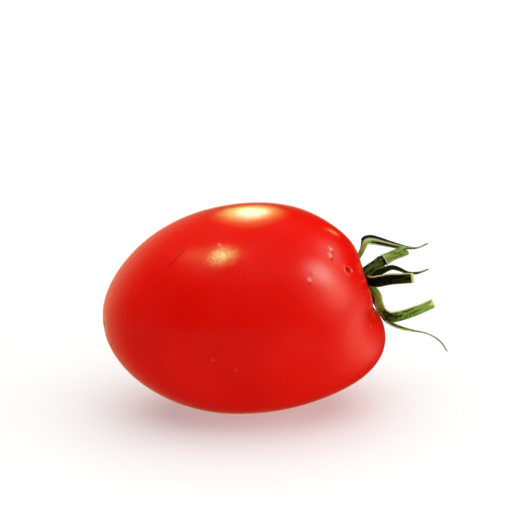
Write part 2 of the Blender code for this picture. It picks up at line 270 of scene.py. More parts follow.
def relief(place):
    """How far the skin stands out here, how corky it is, how pale where highlights are painted on,
    and how dark where shade is painted on and in the crater and scratch.
    """
    rise = sum(height * noise.noise(place / size) for size, height in SWELLS)
    cork = 0.0
    pale = 0.0
    painted_shade_and_dark_marks = 0.0
    for middle, normal, radius, height, painted_light in pimples:
        away = (place - middle).length
        if away < PIMPLE_REACH * radius:
            # Painted highlight on the pimple's upper side and painted shade below it, as the camera sees it.
            uphill = (view_up - normal * view_up.dot(normal)).normalized() * radius
            lit = place - middle - uphill * PIMPLE_LIT
            shaded = place - middle + uphill * PIMPLE_SHADED
            rise += height * bell(away, radius * PIMPLE_SPREAD)
            pale = max(pale, painted_light * bell(lit.length, radius * PIMPLE_LIT_SPREAD))
            shadow = bell(shaded.length, radius * PIMPLE_SHADE_SPREAD)
            painted_shade_and_dark_marks = max(painted_shade_and_dark_marks, PIMPLE_SHADE * painted_light * shadow)
    away = (place - crater).length
    if away < 3.0 * CRATER_RING:
        rise -= CRATER_DEPTH * bell(away - CRATER_RING, CRATER_WIDTH)
        rise += CRATER_LIP * bell(away - CRATER_LIP_RING, CRATER_WIDTH)
        painted_shade_and_dark_marks = max(painted_shade_and_dark_marks, 1.0 - smoothstep((away - CRATER_RING) / CRATER_WIDTH))
        # Painted highlights: two glints on the crater's lit rim.
        for glint in glints:
            pale = max(pale, bell((place - glint).length, GLINT_SPREAD))
    away, side = distance_to_line(place, scratch)
    if away < 6.0 * SCRATCH_WIDTH:
        ends = min((place - scratch[0]).length, (place - scratch[-1]).length)
        fade = smoothstep(ends / SCRATCH_FADE)
        rise -= SCRATCH_DEPTH * fade * bell(away, SCRATCH_WIDTH)
        rise += SCRATCH_LIP * fade * bell(away * side - SCRATCH_LIP_OFFSET, SCRATCH_WIDTH)
        painted_shade_and_dark_marks = max(painted_shade_and_dark_marks, SCRATCH_DARKNESS * fade * bell(away, SCRATCH_WIDTH))
    around = place - blossom_point
    away = around.length
    if away < 4.0 * SCAR_RADIUS:
        edge = SCAR_RADIUS * (0.95 + SCAR_RAGGEDNESS * noise.noise(around / SCAR_GRAIN))
        rise += SCAR_RISE * bell(away, SCAR_RADIUS * 0.45)
        rise += SCAR_RIM_RISE * bell(away - SCAR_RADIUS, 0.3 * SCAR_RADIUS)
        cork = 1.0 - smoothstep((away - edge) / (0.4 * SCAR_RADIUS))
    around = place - seat_point
    away = around.length
    turn = math.atan2(around.y, around.z)
    ragged = 0.7 + 0.6 * noise.noise(Vector((turn * 1.7, 3.0, 0.0)))
    folds = math.sin(PUCKERS * turn + PUCKER_WAVER * noise.noise(place / PUCKER_WAVER_SIZE))
    rise += PUCKER_DEPTH * ragged * folds * bell(away - PUCKER_RADIUS, PUCKER_SPREAD)
    return rise, cork, pale, painted_shade_and_dark_marks


def skin_form():
    """The skin from a sphere with its poles at the fruit's ends, cut finer where it has small marks."""
    form = bmesh.new()
    bmesh.ops.create_uvsphere(form, u_segments=SKIN_SEGMENTS, v_segments=SKIN_RINGS, radius=1.0)
    spots = [(middle, 2.0 * radius + FINE_MARGIN) for middle, _, radius, _, _ in pimples]
    spots += [(crater, 2.2 * CRATER_RING), (blossom_point, 1.6 * SCAR_RADIUS)]
    fine = set()
    for face in form.faces:
        place = on_skin(face.calc_center_median().normalized())
        near = any((place - middle).length < reach for middle, reach in spots)
        if near or distance_to_line(place, scratch)[0] < FINE_BESIDE_SCRATCH:
            fine.update(face.edges)
    bmesh.ops.subdivide_edges(form, edges=list(fine), cuts=FINE_CUTS, use_grid_fill=True)
    for vertex in form.verts:
        vertex.co = on_skin(vertex.co.normalized())
    bmesh.ops.recalc_face_normals(form, faces=form.faces)
    form.normal_update()
    # Layers: cork for the scar, pale for painted highlights, and painted shade together with the dark of the
    # crater and scratch.
    corky = form.verts.layers.float.new("cork")
    painted_highlight_layer = form.verts.layers.float.new("pale")
    painted_shade_and_dark_marks_layer = form.verts.layers.float.new("painted_shade_and_dark_marks")
    for vertex in form.verts:
        rise, vertex[corky], vertex[painted_highlight_layer], vertex[painted_shade_and_dark_marks_layer] = relief(vertex.co)
        vertex.co += vertex.normal * rise
        vertex.co.z = (vertex.co.z + math.hypot(vertex.co.z, FLAT_SOFTNESS)) / 2.0
    return form


def new_piece(form, name, finish, sharp_angle=None):
    """A finished piece of this form, riding on the fruit."""
    bmesh.ops.recalc_face_normals(form, faces=form.faces)
    mesh = bpy.data.meshes.new(name)
    form.to_mesh(mesh)
    form.free()
    mesh.shade_smooth()
    if sharp_angle:
        mesh.set_sharp_from_angle(angle=sharp_angle)
    mesh.materials.append(finish)
    piece = bpy.data.objects.new(name, mesh)
    bpy.context.scene.collection.objects.link(piece)
    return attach(piece, "root")


class Finish:
    """A material under construction: its Principled shader and the nodes that feed it."""

    def __init__(self, name, **constants):
        self.material = bpy.data.materials.new(name)
        self.material.use_nodes = True
        self.tree = self.material.node_tree
        self.shader = self.tree.nodes["Principled BSDF"]
        for socket, value in constants.items():
            self.shader.inputs[socket.replace("_", " ")].default_value = value
        self.place = self.tree.nodes.new("ShaderNodeTexCoord").outputs["Object"]

    def feed(self, socket, value):
        if isinstance(value, bpy.types.NodeSocket):
            self.tree.links.new(value, socket)
        elif hasattr(value, "__len__") and len(socket.default_value) == 4:
            socket.default_value = (*value, 1.0)
        else:
            socket.default_value = value

    def into(self, socket, value):
        self.feed(self.shader.inputs[socket], value)

    def value_of(self, attribute):
        node = self.tree.nodes.new("ShaderNodeAttribute")
        node.attribute_name = attribute
        return node.outputs["Fac"]

    def vector_of(self, attribute):
        node = self.tree.nodes.new("ShaderNodeAttribute")
        node.attribute_name = attribute
        return node.outputs["Vector"]

    def stretched(self, place, scale):
        node = self.tree.nodes.new("ShaderNodeMapping")
        self.feed(node.inputs["Vector"], place)
        node.inputs["Scale"].default_value = scale
        return node.outputs["Vector"]

    def grain(self, size, detail=2.0, place=None):
        """Soft random values, 0 to 1, with spots of about this size."""
        node = self.tree.nodes.new("ShaderNodeTexNoise")
        self.feed(node.inputs["Vector"], self.place if place is None else place)
        node.inputs["Scale"].default_value = 1.0 / size
        node.inputs["Detail"].default_value = detail
        return node.outputs[0]

    def cells(self, size):
        """Distance to the middle of the nearest of many scattered cells of this size."""
        node = self.tree.nodes.new("ShaderNodeTexVoronoi")
        self.feed(node.inputs["Vector"], self.place)
        node.inputs["Scale"].default_value = 1.0 / size
        return node.outputs["Distance"]

    def far_from(self, point):
        node = self.tree.nodes.new("ShaderNodeVectorMath")
        node.operation = "DISTANCE"
        self.feed(node.inputs[0], self.place)
        node.inputs[1].default_value = point
        return node.outputs["Value"]

    def ramp(self, value, low, high, start=0.0, end=1.0):
        """start where the value is low, end where it is high, and smooth between them."""
        node = self.tree.nodes.new("ShaderNodeMapRange")
        node.interpolation_type = "SMOOTHSTEP"
        for socket, number in zip(node.inputs, (value, low, high, start, end)):
            self.feed(socket, number)
        return node.outputs["Result"]

    def math(self, operation, first, second):
        node = self.tree.nodes.new("ShaderNodeMath")
        node.operation = operation
        self.feed(node.inputs[0], first)
        self.feed(node.inputs[1], second)
        return node.outputs["Value"]

    def mix(self, share, first, second):
        """The first colour where share is 0, and the second where it is 1."""
        node = self.tree.nodes.new("ShaderNodeMix")
        node.data_type = "RGBA"
        self.feed(node.inputs["Factor"], share)
        self.feed(node.inputs[6], first)
        self.feed(node.inputs[7], second)
        return node.outputs[2]

    def bump(self, height, depth, under=None):
        node = self.tree.nodes.new("ShaderNodeBump")
        node.inputs["Strength"].default_value = 1.0
        node.inputs["Distance"].default_value = depth
        self.feed(node.inputs["Height"], height)
        if under is not None:
            self.feed(node.inputs["Normal"], under)
        return node.outputs["Normal"]


RIPE_RED = (0.73, 0.0030, 0.0008)
LIGHT_RED = (0.80, 0.0055, 0.0012)
SHOULDER_RED = (0.78, 0.022, 0.004)
FLECK = (0.85, 0.16, 0.05)
PAINTED_SPARKLE = (0.98, 0.74, 0.42)
PAINTED_HIGHLIGHT = (0.98, 0.40, 0.31)
DARK_MARKS_AND_PAINTED_SHADE = (0.34, 0.002, 0.001)
CORK = (0.26, 0.085, 0.024)
SEAT_GREEN = (0.34, 0.17, 0.02)
BLOTCH_SIZE = 26.0 * MM
SHOULDER_RED_REACH = (16.0 * MM, 5.0 * MM)
SEAT_GREEN_REACH = (7.2 * MM, 5.2 * MM)
SEAT_EDGE_SIZE = 2.0 * MM
SEAT_EDGE_WAVER = 2.6 * MM
FLECK_SPACING = 1.1 * MM
FLECK_CLUSTER = 5.0 * MM
SPARKLE_SPACING = 0.50 * MM
SPARKLE_CLUSTER = 0.9 * MM
SPARKLE_REACH = (3.8 * MM, 0.8 * MM)
BLOOM_SIZE = 6.0 * MM
GRAIN_REACH = 6.0 * MM
GRAIN_SIZE = 0.38 * MM
GRAIN_DEPTH = 0.052 * MM
PORE_SPACING = 0.55 * MM
PORE_DEPTH = 0.034 * MM


def skin_finish():
    """Red flesh seen through a clear waxy skin: soft blotches, pale flecks, painted sparkle, painted
    highlights and shade, fine pores and marks.
    """
    skin = Finish("tomato_skin", IOR=1.40, Subsurface_Weight=0.15, Subsurface_Scale=2.5 * MM)
    skin.shader.inputs["Subsurface Radius"].default_value = (1.0, 0.12, 0.06)
    blotches = skin.ramp(skin.grain(BLOTCH_SIZE, 1.5), 0.38, 0.68)
    colour = skin.mix(blotches, RIPE_RED, LIGHT_RED)
    seat = skin.far_from(seat_point)
    colour = skin.mix(skin.ramp(seat, *SHOULDER_RED_REACH, 0.0, 0.35), colour, SHOULDER_RED)
    ragged = skin.math("ADD", seat, skin.math("MULTIPLY", skin.grain(SEAT_EDGE_SIZE), SEAT_EDGE_WAVER))
    colour = skin.mix(skin.ramp(ragged, *SEAT_GREEN_REACH), colour, SEAT_GREEN)
    flecks = skin.ramp(skin.cells(FLECK_SPACING), 0.20, 0.06)
    sparse = skin.ramp(skin.grain(FLECK_CLUSTER), 0.45, 0.62, 0.04, 0.26)
    colour = skin.mix(skin.math("MULTIPLY", flecks, sparse), colour, FLECK)
    # Painted sparkle: pale dots only round the spot where the overhead highlight lies, standing in for its
    # glitter.
    from_grain = skin.far_from(grain_spot)
    painted_sparkles = skin.ramp(skin.cells(SPARKLE_SPACING), 0.36, 0.14)
    painted_sparkles = skin.math("MULTIPLY", painted_sparkles, skin.ramp(from_grain, *SPARKLE_REACH))
    painted_sparkles = skin.math("MULTIPLY", painted_sparkles, skin.ramp(skin.grain(SPARKLE_CLUSTER), 0.38, 0.58))
    colour = skin.mix(painted_sparkles, colour, PAINTED_SPARKLE)
    # Painted highlights on the pimples and glints on the crater.
    colour = skin.mix(skin.math("MULTIPLY", skin.value_of("pale"), 0.85), colour, PAINTED_HIGHLIGHT)
    # Painted shade under the pimples, and the dark of the crater and scratch, in one dark red.
    colour = skin.mix(skin.math("MULTIPLY", skin.value_of("painted_shade_and_dark_marks"), 0.8), colour, DARK_MARKS_AND_PAINTED_SHADE)
    cork = skin.value_of("cork")
    skin.into("Base Color", skin.mix(cork, colour, CORK))
    # Where that dark red is painted, the skin's reflection is turned down as well, so the painted shade stays
    # deep.
    skin.into("Specular IOR Level", skin.ramp(skin.value_of("painted_shade_and_dark_marks"), 0.1, 0.8, 0.42, 0.05))
    bloom = skin.ramp(skin.grain(BLOOM_SIZE, 4.0), 0.35, 0.7, 0.14, 0.18)
    skin.into("Roughness", skin.math("MAXIMUM", bloom, skin.math("MULTIPLY", cork, 0.6)))
    rough = skin.ramp(from_grain, GRAIN_REACH, 0.3 * GRAIN_REACH, 0.22, 1.0)
    pores = skin.math("MULTIPLY", skin.ramp(skin.cells(PORE_SPACING), 0.0, 0.42), rough)
    grain = skin.math("MULTIPLY", skin.grain(GRAIN_SIZE), rough)
    skin.into("Normal", skin.bump(grain, GRAIN_DEPTH, skin.bump(pores, PORE_DEPTH)))
    return skin.material


fruit = new_piece(skin_form(), "fruit_skin", skin_finish())
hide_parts("fruit")
skin_tree = BVHTree.FromObject(fruit, bpy.context.evaluated_depsgraph_get())

# Collar. The fleshy disc that the sepals grow from, sunk in the hollow of the shoulder: a low mound with a
# lobe running out under each sepal, and a groove round the stalk's foot.
NOT_DRY = (2.0, 3.0)
NOT_CUT = 2.0
NO_PAINTED_SHADOW_BAND = (1, 2.0, (0.0, 0.0))
SEPALS = (
    # Turn is in degrees from the top towards the front. Width, and the full length that the taper runs over,
    # are in mm. Painted shading runs from foot to tip, dark where shade falls and bright where light does,
    # and dry and cut say from what share of the length on. Band is a painted shadow: its darker side, its
    # border across the blade and its darkness from foot to tip, and edges gives how pale each rim is, partly
    # as painted highlight. A bend lies so far out along the turn, aside and up, in mm, with its twist in
    # degrees.
    {"name": "top", "turn": 8, "width": 3.6, "full": 27.0, "tip": "point",
     "painted_shading": (0.20, 0.90, 0.10, 0.12, 0.40), "dry": (0.76, 0.9), "cut": NOT_CUT,
     "band": (-1, 0.12, (0.9, 0.9)), "edges": (0.1, 0.6), "bends": (
        (2.3, 0.0, 0.9, 0), (4.6, 0.0, 2.0, -15), (6.5, -0.3, 4.4, -15), (8.2, -0.5, 6.2, 20),
        (7.1, -1.3, 8.3, 58), (4.0, -1.9, 11.1, 62), (0.0, -2.7, 14.6, 55), (-3.0, -3.2, 18.0, 40),
        (-3.9, -3.7, 21.3, 30))},
    {"name": "front", "turn": 86, "width": 3.6, "full": 40.0, "tip": "cut",
     "painted_shading": (0.02, 0.02, 0.05, 0.09, 0.13), "dry": NOT_DRY, "cut": 0.955,
     "band": NO_PAINTED_SHADOW_BAND, "edges": (0.6, 0.75), "bends": (
        (2.3, 0.0, 0.9, 0), (4.5, 0.2, 1.4, 0), (7.5, 0.6, 2.7, -6), (9.5, 1.3, 6.2, -6),
        (10.7, 2.3, 8.9, -6), (11.8, 3.3, 11.5, -6))},
    {"name": "front_low", "turn": 130, "width": 3.3, "full": 60.0, "tip": "forked",
     "painted_shading": (0.30, 1.15, 0.24, 0.72, 0.88), "dry": NOT_DRY, "cut": 0.985,
     "band": (1, 0.45, (0.9, 0.9, 0.0, 0.0, 0.0)), "edges": (0.9, 0.15), "bends": (
        (2.3, 0.0, 0.9, 0), (5.0, -0.4, 1.7, -30), (7.5, -0.3, 1.9, -42), (9.1, 0.0, 1.3, -50),
        (10.6, 0.5, 1.0, -50), (12.4, 0.7, 1.2, -48), (14.2, 0.5, 2.3, -42), (15.5, 0.1, 5.2, -40),
        (16.4, 0.0, 9.3, -40), (16.8, 0.0, 13.2, -40))},
    {"name": "low", "turn": 174, "width": 3.3, "full": 22.5, "tip": "point",
     "painted_shading": (0.12, 0.05, 0.03, 0.02, 0.45, 0.85, 0.60, 0.50, 0.50), "dry": (0.58, 0.68), "cut": NOT_CUT,
     "band": NO_PAINTED_SHADOW_BAND, "edges": (0.8, 0.2), "bends": (
        (2.3, 0.0, 0.9, 0), (6.0, 0.0, 1.3, 0), (12.2, 0.0, 1.4, 8), (15.0, 0.1, 2.4, 20),
        (17.5, 0.0, 4.2, 25), (19.9, 0.1, 6.8, 25), (22.0, 0.1, 9.3, 25), (24.4, 0.2, 11.1, 20),
        (26.9, 0.2, 12.1, 20), (29.6, 0.3, 12.4, 20))},
    {"name": "back", "turn": 250, "width": 3.5, "full": 25.0, "tip": "point",
     "painted_shading": (0.03, 0.03, 0.02, 0.05, 0.12), "dry": (0.84, 0.96), "cut": NOT_CUT,
     "band": NO_PAINTED_SHADOW_BAND, "edges": (0.1, 0.5), "bends": (
        (2.3, 0.0, 0.9, 0), (4.8, -0.6, 1.6, 0), (7.7, -2.0, 4.7, -10), (8.0, -2.5, 7.7, -33),
        (7.9, -2.9, 10.3, -40), (7.7, -4.3, 11.9, -45), (7.6, -6.3, 13.6, -50), (7.2, -7.4, 15.9, -50),
        (6.2, -7.7, 18.4, -50))},
    {"name": "back_high", "turn": 310, "width": 3.7, "full": 25.0, "tip": "point",
     "painted_shading": (0.30, 0.45, 0.55, 0.50, 0.45), "dry": (0.80, 1.0), "cut": NOT_CUT,
     "band": NO_PAINTED_SHADOW_BAND, "edges": (0.5, 0.5), "bends": (
        (2.3, 0.0, 0.9, 0), (5.0, 0.0, 1.5, 0), (10.0, 0.6, 1.6, 0), (15.0, 1.6, 0.2, 0),
        (18.0, 2.3, -1.0, 5), (20.2, 2.9, -1.8, 5))},
)
COLLAR_RADIUS = 3.35 * MM
COLLAR_LOBE = 1.15 * MM
COLLAR_LOBE_WIDTH = math.radians(19)
COLLAR_THICKNESS = 1.75 * MM
COLLAR_SUNK = 0.30 * MM
COLLAR_GROOVE = 0.45 * MM
COLLAR_GROOVE_RADIUS = 1.75 * MM
COLLAR_GROOVE_SPREAD = 0.35 * MM
COLLAR_THINNING = 0.75
COLLAR_UNEVEN = 0.08 * MM
COLLAR_UNEVEN_SIZE = 0.8 * MM
COLLAR_SHADE = 0.12
COLLAR_LOBE_SHADE = 0.18
COLLAR_AROUND = 96
COLLAR_RINGS = 40

seat_up = (LAY_DOWN.to_3x3() @ STEM_AXIS).normalized()
seat_rise = (Vector((0.0, 0.0, 1.0)) - seat_up * seat_up.z).normalized()
seat_front = seat_up.cross(seat_rise)


def seat_ways(turn):
    """The way out from the seat at this turn from the top towards the front, and the way beside it."""
    out = seat_rise * math.cos(turn) + seat_front * math.sin(turn)
    beside = -seat_rise * math.sin(turn) + seat_front * math.cos(turn)
    return out, beside


def skin_under(point):
    """The skin straight below this point, along the stalk's axis."""
    return skin_tree.ray_cast(point + seat_up * FRUIT_RADIUS, -seat_up)[0]


def collar_form():
    form = bmesh.new()
    bmesh.ops.create_uvsphere(form, u_segments=COLLAR_AROUND, v_segments=COLLAR_RINGS, radius=1.0)
    painted_shading = form.verts.layers.float.new("painted_shading")
    for vertex in form.verts:
        turn = math.atan2(vertex.co.y, vertex.co.x)
        polar = math.acos(max(-1.0, min(1.0, vertex.co.z)))
        lobes = sum(
            bell(angle_between(turn, math.radians(sepal["turn"])), COLLAR_LOBE_WIDTH) for sepal in SEPALS
        )
        reach = COLLAR_RADIUS + COLLAR_LOBE * lobes
        radius = reach * math.sin(polar) ** 0.75
        out, _ = seat_ways(turn)
        under = skin_under(seat_point + out * radius)
        upper = smoothstep((math.cos(polar) + 0.35) / 0.9)
        thickness = COLLAR_THICKNESS * (1.0 - COLLAR_THINNING * (radius / reach) ** 3)
        thickness -= COLLAR_GROOVE * bell(radius - COLLAR_GROOVE_RADIUS, COLLAR_GROOVE_SPREAD)
        thickness += COLLAR_UNEVEN * noise.noise(under / COLLAR_UNEVEN_SIZE)
        vertex.co = under + seat_up * lerp(-COLLAR_SUNK, thickness, upper)
        # Painted shading: darkest round the stalk and between the lobes, brighter out along each lobe.
        vertex[painted_shading] = COLLAR_SHADE + COLLAR_LOBE_SHADE * lobes * smoothstep(radius / reach)
    return form


GREENS = ((0.0035, 0.0045, 0.0008), (0.060, 0.100, 0.008), (0.240, 0.390, 0.060))
DRY_BROWN = (0.40, 0.28, 0.14)
DRY_DARK = (0.12, 0.075, 0.035)
PALE_RIM_AND_PAINTED_HIGHLIGHT = (0.84, 0.78, 0.42)
CUT_FACE = (0.70, 0.74, 0.24)
PITH = (0.70, 0.74, 0.42)
STREAKS_PER_METRE = (0.35 / MM, 3.2 / MM, 3.2 / MM)
STREAK_DEPTH = 0.050 * MM
MOTTLE_SIZE = 0.75 * MM
LEAF_GRAIN_SIZE = 0.16 * MM
LEAF_GRAIN_DEPTH = 0.020 * MM


def green_finish(name):
    """Green leaf and stem: dark to bright by the piece's painted shading, as light and shade fall on it,
    streaked lengthwise, with thin pale edges that are partly painted highlight, brown where it has dried
    and pale where it was cut."""
    green = Finish(name, IOR=1.25, Specular_IOR_Level=0.06)
    streaks = green.grain(1.0, 3.0, green.stretched(green.vector_of("fibre"), STREAKS_PER_METRE))
    mottle = green.grain(MOTTLE_SIZE, 3.0)
    uneven = green.ramp(streaks, 0.32, 0.68, -0.30, 0.30)
    uneven = green.math("ADD", uneven, green.ramp(mottle, 0.3, 0.7, -0.20, 0.20))
    painted_shading = green.value_of("painted_shading")
    painted_shading = green.math("ADD", painted_shading, green.math("MULTIPLY", uneven, green.ramp(painted_shading, 0.0, 0.5, 0.25, 1.0)))
    colour = green.mix(green.ramp(painted_shading, 0.02, 0.45), GREENS[0], GREENS[1])
    colour = green.mix(green.ramp(painted_shading, 0.40, 0.95), colour, GREENS[2])
    colour = green.mix(green.value_of("edge"), colour, PALE_RIM_AND_PAINTED_HIGHLIGHT)
    brown = green.mix(green.ramp(streaks, 0.35, 0.65), DRY_DARK, DRY_BROWN)
    colour = green.mix(green.value_of("dry"), colour, brown)
    colour = green.mix(green.value_of("cut"), colour, CUT_FACE)
    colour = green.mix(green.value_of("pith"), colour, PITH)
    green.into("Base Color", colour)
    green.into("Roughness", green.ramp(mottle, 0.3, 0.7, 0.50, 0.68))
    fine = green.bump(green.grain(LEAF_GRAIN_SIZE), LEAF_GRAIN_DEPTH)
    green.into("Normal", green.bump(streaks, STREAK_DEPTH, fine))
    return green.material


leaf_green = green_finish("tomato_leaf")
collar = new_piece(collar_form(), "calyx_collar", leaf_green)
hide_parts("calyx")

# Sepals. Six narrow fleshy leaves round the stalk, each channelled, with a rib and veins along it. They bend
# away from the fruit in all directions; two are broken off short, and the others dry to brown threads.
SEPAL_THICKNESS = 0.62 * MM
SEPAL_TIP_THICKNESS = 0.34 * MM
SEPAL_TIP_WIDTH = 0.42 * MM
SEPAL_WAIST = 0.90
SEPAL_WAIST_END = 0.25
SEPAL_TAPER = (1.5, 0.85)
SEPAL_CHANNEL = 0.15
SEPAL_LIFT = 0.12 * MM
SEPAL_STATIONS = 110
SEPAL_AROUND = 28
STEPS_PER_BEND = 24
END_CAP = 0.03
SEPAL_EDGE_THINNESS = 0.45
SEPAL_WAVER = 0.05
SEPAL_WAVER_SIZE = 2.2 * MM
CLEAR_OF_SKIN_FROM = 0.12
RIBBED_WIDTH = 2.2 * MM
RIB_RISE = 0.16 * MM
RIB_SPREAD = 0.20
FURROW_DEPTH = 0.6 * RIB_RISE
FURROW_SPREAD = 0.16
VEIN_RISE = 0.055 * MM
VEIN_AT = 0.5
VEIN_SPREAD = 0.13
FORK_DEPTH = 1.3 * MM
FORK_AT = -0.15
FORK_SPREAD = 0.30
BAND_BLEND = 0.12
BAND_FROM = 0.2
BAND_LINE = 1.8
BAND_LINE_SPREAD = 0.13
EDGE_FROM = 0.80
EDGE_BLEND = 0.12
PALE_FROM = 0.17
PALE_BLEND = 0.12
CUT_BLEND = 0.02
FIBRE_APART = 2.0 * MM


def smooth_route(bends, count):
    """Points evenly spaced along a smooth curve through the bends, each with its place and its twist."""
    ends = [bends[0] * 2.0 - bends[1], *bends, bends[-1] * 2.0 - bends[-2]]
    fine = []
    for before, start, end, after in zip(ends, ends[1:], ends[2:], ends[3:]):
        for step in range(STEPS_PER_BEND):
            share = step / STEPS_PER_BEND
            fine.append(0.5 * (
                start * 2.0
                + (end - before) * share
                + (before * 2.0 - start * 5.0 + end * 4.0 - after) * share**2
                + (start * 3.0 - before - end * 3.0 + after) * share**3
            ))
    fine.append(bends[-1])
    lengths = [0.0]
    for start, end in zip(fine, fine[1:]):
        lengths.append(lengths[-1] + (end - start).to_3d().length)
    route = []
    index = 0
    for step in range(count + 1):
        target = lengths[-1] * step / count
        while index < len(fine) - 2 and lengths[index + 1] < target:
            index += 1
        span = lengths[index + 1] - lengths[index]
        route.append(fine[index].lerp(fine[index + 1], (target - lengths[index]) / span))
    return route, lengths[-1]


def clear_of_skin(point, gap):
    """The point, moved straight away from the skin where it is nearer than this gap."""
    nearest, normal = skin_tree.find_nearest(point)[:2]
    short = gap - (point - nearest).dot(normal)
    return point + normal * max(0.0, short)


def along_list(values, share):
    """Value at this share of the way through a list of evenly spread values."""
    place = min(max(share, 0.0), 1.0) * (len(values) - 1)
    index = min(int(place), len(values) - 2)
    return lerp(values[index], values[index + 1], smoothstep(place - index))


class Blade:
    """The middle sheet of one sepal: its route from the collar, and its way across at each station."""

    def __init__(self, sepal):
        self.sepal = sepal
        out, beside = seat_ways(math.radians(sepal["turn"]))
        bends = []
        for along, aside, height, twist in sepal["bends"]:
            place = seat_point + (out * along + beside * aside + seat_up * height) * MM
            bends.append(Vector((*place, math.radians(twist))))
        route, self.length = smooth_route(bends, SEPAL_STATIONS)
        gap = SEPAL_LIFT + SEPAL_THICKNESS / 2.0
        middles = [clear_of_skin(point.to_3d(), gap) for point in route]
        across = beside
        self.frames = []
        for index, (middle, point) in enumerate(zip(middles, route)):
            ahead = (middles[min(index + 1, SEPAL_STATIONS)] - middles[max(index - 1, 0)]).normalized()
            across = (across - ahead * across.dot(ahead)).normalized()
            turned = Matrix.Rotation(point.w, 3, ahead) @ across
            self.frames.append((middle, turned, turned.cross(ahead)))

    def at(self, share):
        """Middle, way across and way in at this share of the length."""
        place = min(max(share, 0.0), 1.0) * SEPAL_STATIONS
        index = min(int(place), SEPAL_STATIONS - 1)
        return [one.lerp(two, place - index) for one, two in zip(self.frames[index], self.frames[index + 1])]

    def width(self, share):
        """A little waisted at the collar, then a long taper to a thin tip."""
        grown = share * self.length / (self.sepal["full"] * MM)
        belly = lerp(SEPAL_WAIST, 1.0, smoothstep(grown / SEPAL_WAIST_END))
        taper = (1.0 - min(grown, 1.0) ** SEPAL_TAPER[0]) ** SEPAL_TAPER[1]
        return max(SEPAL_TIP_WIDTH, self.sepal["width"] * MM * belly * taper)

    def surface(self, share, around, closing=1.0):
        """A point of the blade's surface: around is 0 and pi at its edges, and between them on each face."""
        side, face = math.cos(around), math.sin(around)
        if self.sepal["tip"] == "forked":
            back = FORK_DEPTH * bell(side - FORK_AT, FORK_SPREAD) * smoothstep((share - 0.8) / 0.2)
            share -= back / self.length
        middle, across, inner = self.at(share)
        width = self.width(share)
        spot = Vector((share * self.length / SEPAL_WAVER_SIZE, side, self.sepal["turn"]))
        wavy = 1.0 + SEPAL_WAVER * noise.noise(spot)
        width *= wavy * lerp(0.5, 1.0, closing)
        thin = lerp(SEPAL_THICKNESS, SEPAL_TIP_THICKNESS, smoothstep(share))
        thin *= lerp(1.0, SEPAL_EDGE_THINNESS, side**2)
        height = math.copysign(abs(face) ** 0.6, face) * thin / 2.0
        grown = min(1.0, width / RIBBED_WIDTH)
        if face < 0.0:
            height -= RIB_RISE * grown * bell(side, RIB_SPREAD) * (1.0 - 0.5 * share)
        else:
            height -= FURROW_DEPTH * grown * bell(side, FURROW_SPREAD)
        veins = bell(side - VEIN_AT, VEIN_SPREAD) + bell(side + VEIN_AT, VEIN_SPREAD)
        height += VEIN_RISE * grown * math.copysign(1.0, face) * veins
        height *= closing
        place = middle + across * side * width / 2.0 + inner * (height - SEPAL_CHANNEL * width * side**2)
        return clear_of_skin(place, SEPAL_LIFT) if share > CLEAR_OF_SKIN_FROM else place


def sepal_form(blade):
    form = bmesh.new()
    bmesh.ops.create_uvsphere(form, u_segments=SEPAL_AROUND, v_segments=SEPAL_STATIONS, radius=1.0)
    painted_shading = form.verts.layers.float.new("painted_shading")
    edge = form.verts.layers.float.new("edge")
    dry = form.verts.layers.float.new("dry")
    cut = form.verts.layers.float.new("cut")
    fibre = form.verts.layers.float_vector.new("fibre")
    sepal = blade.sepal
    for vertex in form.verts:
        polar = math.acos(max(-1.0, min(1.0, -vertex.co.z))) / math.pi
        around = math.atan2(vertex.co.y, vertex.co.x)
        share = min(max((polar - END_CAP) / (1.0 - 2.0 * END_CAP), 0.0), 1.0)
        closing = min(1.0, polar / END_CAP, (1.0 - polar) / END_CAP)
        place = blade.surface(share, around, math.sqrt(1.0 - (1.0 - closing) ** 2))
        if closing < 1.0:
            place = lerp(blade.at(share)[0], place, closing)
        vertex.co = place
        side = math.cos(around)
        # Painted shading from foot to tip: black where the sepal lies in shadow, bright green where light
        # falls.
        vertex[painted_shading] = along_list(sepal["painted_shading"], share)
        # Painted shadow darkens one side of the blade, and a thin pale line at its border is a painted
        # highlight on the lit edge.
        dark_way, border, amounts = sepal["band"]
        darker = along_list(amounts, share)
        past_border = (side - border) * dark_way
        vertex[painted_shading] -= darker * smoothstep(past_border / BAND_BLEND + 0.5) * smoothstep(share / BAND_FROM)
        line = min(1.0, BAND_LINE * darker) * bell(past_border, BAND_LINE_SPREAD)
        # The pale rims are partly painted highlight along the lit edges.
        rim = sepal["edges"][side > 0.0] * smoothstep((abs(side) - EDGE_FROM) / EDGE_BLEND)
        vertex[edge] = max(line, rim) * smoothstep((share - PALE_FROM) / PALE_BLEND)
        vertex[dry] = smoothstep((share - sepal["dry"][0]) / (sepal["dry"][1] - sepal["dry"][0]))
        vertex[cut] = smoothstep((share - sepal["cut"]) / CUT_BLEND)
        across = side * blade.width(share) / 2.0
        vertex[fibre] = (share * blade.length, across, math.copysign(FIBRE_APART, vertex.co.y))
    return form


blades = [Blade(sepal) for sepal in SEPALS]
for blade in blades:
    sepal = new_piece(sepal_form(blade), "sepal_" + blade.sepal["name"], leaf_green, math.radians(50))
    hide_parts("calyx")

